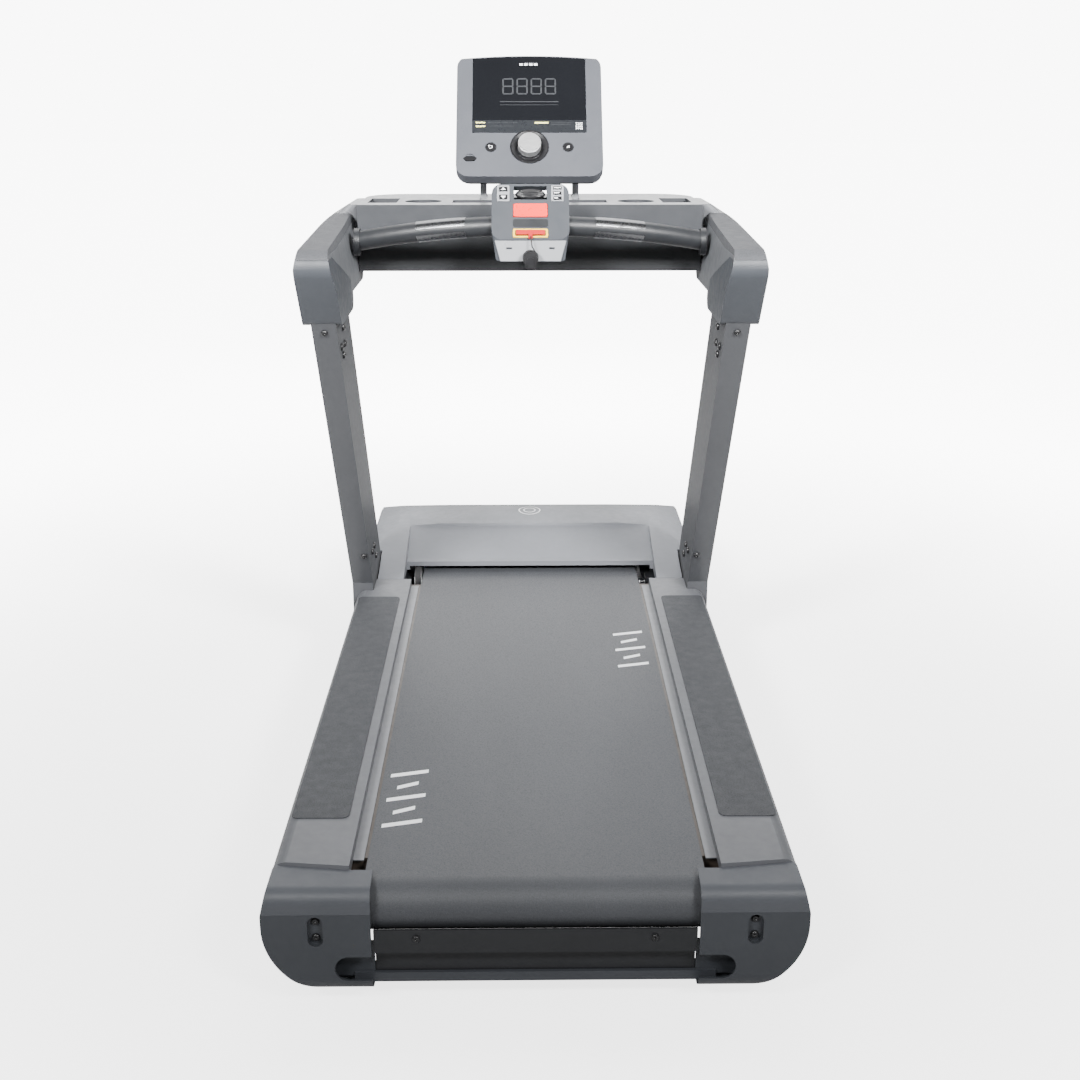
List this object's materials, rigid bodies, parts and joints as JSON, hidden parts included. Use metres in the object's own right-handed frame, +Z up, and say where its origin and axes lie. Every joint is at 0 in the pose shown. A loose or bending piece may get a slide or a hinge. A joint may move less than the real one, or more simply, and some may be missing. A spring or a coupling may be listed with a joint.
{
  "type": "treadmill",
  "caption": "Commercial treadmill with a wide running belt, stepped side decks, leaning uprights, curved handlebar, control pod, cup wells and a display console.",
  "frame": {"origin": "on the floor under the middle of the machine's length and width", "axes": "+Z up, +Y towards the motor hood, the way the runner faces, +X to the runner's right"},
  "size_m": [0.906, 2.118, 1.4799],
  "materials": {
    "rubber_black": "matt moulded rubber",
    "painted_steel": "satin powder coat",
    "deck_board": "phenolic-faced board",
    "belt_cloth": "fine orange-peel PVC belt",
    "bright_steel": "turned or brushed",
    "motor_paint": "gloss enamel",
    "circuit_green": "coated circuit board",
    "charcoal_plastic": "fine moulded texture",
    "grip_mat": "pebbled non-slip surface",
    "black_plastic": "satin black moulding",
    "grey_plastic": "satin light charcoal moulding",
    "stop_red": "satin red moulding",
    "upright_paint": "satin powder coat",
    "black_steel": "black oxide",
    "dark_plastic": "fine moulded texture",
    "key_yellow": "satin yellow moulding",
    "silver_plastic": "satin metallic paint",
    "display_black": "gloss acrylic window",
    "cord_black": "braided cord"
  },
  "bodies": {
    "feet": {"foot_pads": "rubber_black"},
    "frame": {"frame_rails": "painted_steel", "cross_members": "painted_steel", "deck": "deck_board", "deck_cushions": "rubber_black", "running_belt": "belt_cloth", "rear_axle": "bright_steel", "axle_blocks": "painted_steel", "motor_housing": "motor_paint", "drive_belt": "rubber_black", "motor_controller": "circuit_green", "actuator_body": "motor_paint", "side_covers": "charcoal_plastic", "step_mats": "grip_mat", "rear_cover": "charcoal_plastic", "rear_caps": "charcoal_plastic", "roller_guard": "black_plastic", "hood": "grey_plastic", "inlet_panel": "black_plastic", "upright_left": "upright_paint", "upright_right": "upright_paint", "bolts": "black_steel", "arm_casings": "grey_plastic", "arm_pads": "grip_mat", "elbow_covers": "dark_plastic", "console_frame": "painted_steel", "fascia": "dark_plastic", "console_tray": "grey_plastic", "handlebar": "dark_plastic", "pulse_sensors": "bright_steel", "pod_shell": "dark_plastic", "pod_plate": "grey_plastic", "key_socket": "key_yellow", "key_bezels": "silver_plastic", "console_front": "dark_plastic", "console_back": "black_plastic", "display_lens": "display_black", "dial_ring": "black_plastic"},
    "rear_roller": {"rear_roller": "bright_steel"},
    "front_roller": {"front_roller": "bright_steel"},
    "motor_rotor": {"motor_rotor": "bright_steel"},
    "lift_frame": {"lift_frame": "painted_steel"},
    "lift_wheels": {"lift_wheels": "black_plastic"},
    "actuator_rod": {"actuator_rod": "bright_steel"},
    "dial_stem": {"dial_stem": "black_plastic"},
    "dial_cap": {"dial_cap": "silver_plastic"},
    "back_button": {"back_button": "black_plastic"},
    "pause_button": {"pause_button": "black_plastic"},
    "stop_button": {"stop_button": "stop_red"},
    "up_key": {"up_key": "black_plastic"},
    "down_key": {"down_key": "black_plastic"},
    "quick_key_1": {"quick_key_1": "black_plastic"},
    "quick_key_2": {"quick_key_2": "black_plastic"},
    "quick_key_3": {"quick_key_3": "black_plastic"},
    "air_louvre": {"air_louvre": "black_plastic"},
    "safety_key": {"safety_key": "stop_red", "tether_cord": "cord_black", "tether_coil": "cord_black", "tether_clip": "black_plastic"},
    "power_switch": {"power_switch": "stop_red"}
  },
  "joints": [
    {"name": "incline", "type": "hinge", "parent": "feet", "child": "frame", "pos_m": [0, -0.96, 0.014], "axis": [1, 0, 0], "range_deg": [0, 7]},
    {"name": "lift_swing", "type": "hinge", "parent": "frame", "child": "lift_frame", "pos_m": [0, 0.62, 0.062], "axis": [-1, 0, 0], "range_deg": [0, 37]},
    {"name": "rod_travel", "type": "slide", "parent": "frame", "child": "actuator_rod", "axis": [0, 1, 0], "range_m": [0, 0.058]},
    {"name": "wheel_spin", "type": "hinge", "parent": "lift_frame", "child": "lift_wheels", "pos_m": [0, 1.005, 0.035], "axis": [1, 0, 0], "continuous": true},
    {"name": "front_roller_spin", "type": "hinge", "parent": "frame", "child": "front_roller", "pos_m": [0, 0.522, 0.1705], "axis": [1, 0, 0], "continuous": true},
    {"name": "rear_roller_spin", "type": "hinge", "parent": "frame", "child": "rear_roller", "pos_m": [0, -1, 0.1705], "axis": [1, 0, 0], "continuous": true},
    {"name": "motor_spin", "type": "hinge", "parent": "frame", "child": "motor_rotor", "pos_m": [0, 0.76, 0.152], "axis": [1, 0, 0], "continuous": true},
    {"name": "dial_press", "type": "slide", "parent": "frame", "child": "dial_stem", "axis": [0, 0.7986, -0.6018], "range_m": [0, 0.0015], "stiffness_N_per_m": 1500, "springref_m": -0.001},
    {"name": "dial_turn", "type": "hinge", "parent": "dial_stem", "child": "dial_cap", "pos_m": [0, 0.26974, 1.29151], "axis": [0, 0.7986, -0.6018], "continuous": true},
    {"name": "back_button_press", "type": "slide", "parent": "frame", "child": "back_button", "axis": [0, 0.7986, -0.6018], "range_m": [0, 0.001], "stiffness_N_per_m": 800, "springref_m": -0.0015},
    {"name": "pause_button_press", "type": "slide", "parent": "frame", "child": "pause_button", "axis": [0, 0.7986, -0.6018], "range_m": [0, 0.001], "stiffness_N_per_m": 800, "springref_m": -0.0015},
    {"name": "stop_button_press", "type": "slide", "parent": "frame", "child": "stop_button", "axis": [0, 0.829, -0.5592], "range_m": [0, 0.003], "stiffness_N_per_m": 900, "springref_m": -0.0015},
    {"name": "up_key_press", "type": "slide", "parent": "frame", "child": "up_key", "axis": [0, 0.829, -0.5592], "range_m": [0, 0.0012], "stiffness_N_per_m": 600, "springref_m": -0.0015},
    {"name": "down_key_press", "type": "slide", "parent": "frame", "child": "down_key", "axis": [0, 0.829, -0.5592], "range_m": [0, 0.0012], "stiffness_N_per_m": 600, "springref_m": -0.0015},
    {"name": "quick_key_1_press", "type": "slide", "parent": "frame", "child": "quick_key_1", "axis": [0, 0.829, -0.5592], "range_m": [0, 0.0012], "stiffness_N_per_m": 600, "springref_m": -0.0015},
    {"name": "quick_key_2_press", "type": "slide", "parent": "frame", "child": "quick_key_2", "axis": [0, 0.829, -0.5592], "range_m": [0, 0.0012], "stiffness_N_per_m": 600, "springref_m": -0.0015},
    {"name": "quick_key_3_press", "type": "slide", "parent": "frame", "child": "quick_key_3", "axis": [0, 0.829, -0.5592], "range_m": [0, 0.0012], "stiffness_N_per_m": 600, "springref_m": -0.0015},
    {"name": "louvre_tilt", "type": "hinge", "parent": "frame", "child": "air_louvre", "pos_m": [0, 0.02817, 1.2], "axis": [1, 0, 0], "range_deg": [-18, 18]},
    {"name": "key_pull", "type": "slide", "parent": "frame", "child": "safety_key", "axis": [0, -0.829, 0.5592], "range_m": [0, 0.025]},
    {"name": "switch_rock", "type": "hinge", "parent": "frame", "child": "power_switch", "pos_m": [-0.083, 1.043, 0.128], "axis": [1, 0, 0], "range_deg": [0, 16]}
  ],
  "couplings": [
    {"joint": "lift_swing", "follows": "incline", "ratio": 5.25},
    {"joint": "rod_travel", "follows": "incline", "m_per_rad": 0.464},
    {"joint": "rear_roller_spin", "follows": "front_roller_spin", "ratio": 1},
    {"joint": "motor_spin", "follows": "front_roller_spin", "ratio": 2.6364}
  ]
}
